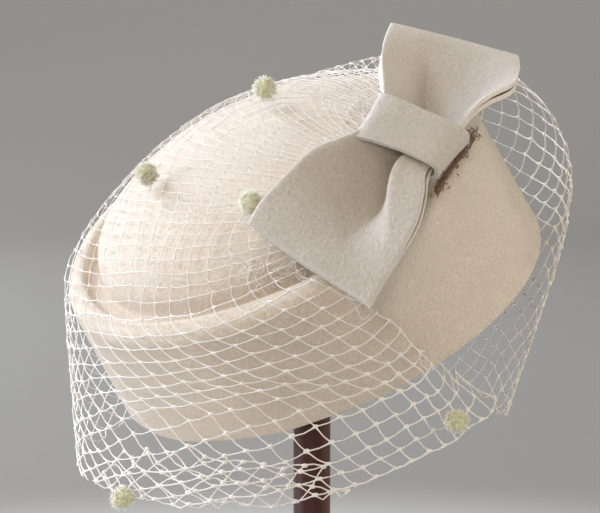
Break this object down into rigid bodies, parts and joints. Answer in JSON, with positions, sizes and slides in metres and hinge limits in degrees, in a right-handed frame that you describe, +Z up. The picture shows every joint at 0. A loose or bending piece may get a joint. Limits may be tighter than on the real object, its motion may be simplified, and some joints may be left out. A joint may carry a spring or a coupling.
{
  "type": "pillbox hat on a display stand",
  "caption": "Oval pillbox hat of blocked felt with a domed crown, a folded bow and a net veil, leaning on a turned wooden stand.",
  "frame": {"origin": "middle of the stand's underside, on the post's axis", "axes": "+Z up along the post; the side with the bow faces -Y, and the hat leans down towards -X and -Y"},
  "size_m": [0.2151, 0.2027, 0.2888],
  "materials": {
    "hat_felt": "short napped wool felt",
    "bow_felt": "short napped wool felt, slightly cooler",
    "netting": "stiffened open netting",
    "chenille": "fuzzy chenille",
    "wood": "dark red gloss"
  },
  "bodies": {
    "root": {"hat_body": "hat_felt", "bow_lower_loop": "bow_felt", "bow_upper_loop": "bow_felt", "bow_knot": "bow_felt", "veil_crown": "netting", "veil_fall": "netting", "veil_dot_1": "chenille", "veil_dot_2": "chenille", "veil_dot_3": "chenille", "veil_dot_4": "chenille", "veil_dot_5": "chenille", "stand_top": "wood", "stand_post": "wood", "stand_base": "wood"}
  },
  "joints": []
}
